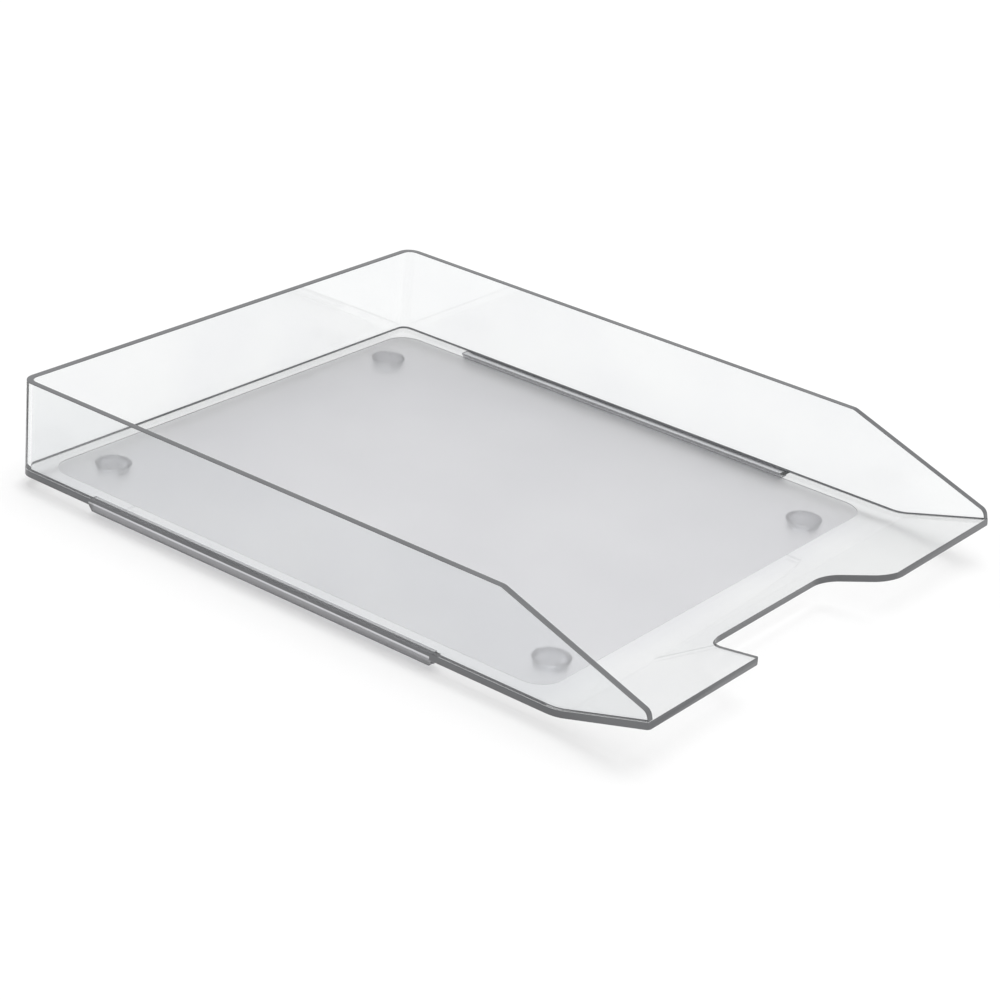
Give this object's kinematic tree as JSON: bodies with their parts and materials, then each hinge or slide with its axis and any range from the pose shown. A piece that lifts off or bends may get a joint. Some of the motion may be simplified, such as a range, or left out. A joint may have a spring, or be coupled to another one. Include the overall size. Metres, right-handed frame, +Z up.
{
  "type": "letter tray",
  "caption": "Clear letter tray with three walls, a low front ramp with an off-centre finger notch, stacking runners under its sides and stick-on feet.",
  "frame": {"origin": "centre of the tray's outline, on the desk under its feet", "axes": "+Z up, the open front with the ramp faces -Y, the back wall is at +Y, left is -X"},
  "size_m": [0.258, 0.33, 0.0485],
  "materials": {
    "clear_acrylic": "clear cast acrylic, polished faces and edges, satin field on the floor",
    "runner_acrylic": "clear extruded acrylic, semi-gloss",
    "clear_rubber": "clear elastomer, glossy",
    "adhesive_film": "clear acrylic adhesive"
  },
  "bodies": {
    "root": {"base_sheet": "clear_acrylic", "wall_band": "clear_acrylic", "left_runner": "runner_acrylic", "right_runner": "runner_acrylic", "rear_left_foot": "clear_rubber", "rear_right_foot": "clear_rubber", "front_left_foot": "clear_rubber", "front_right_foot": "clear_rubber", "rear_left_foot_adhesive": "adhesive_film", "rear_right_foot_adhesive": "adhesive_film", "front_left_foot_adhesive": "adhesive_film", "front_right_foot_adhesive": "adhesive_film"}
  },
  "joints": []
}
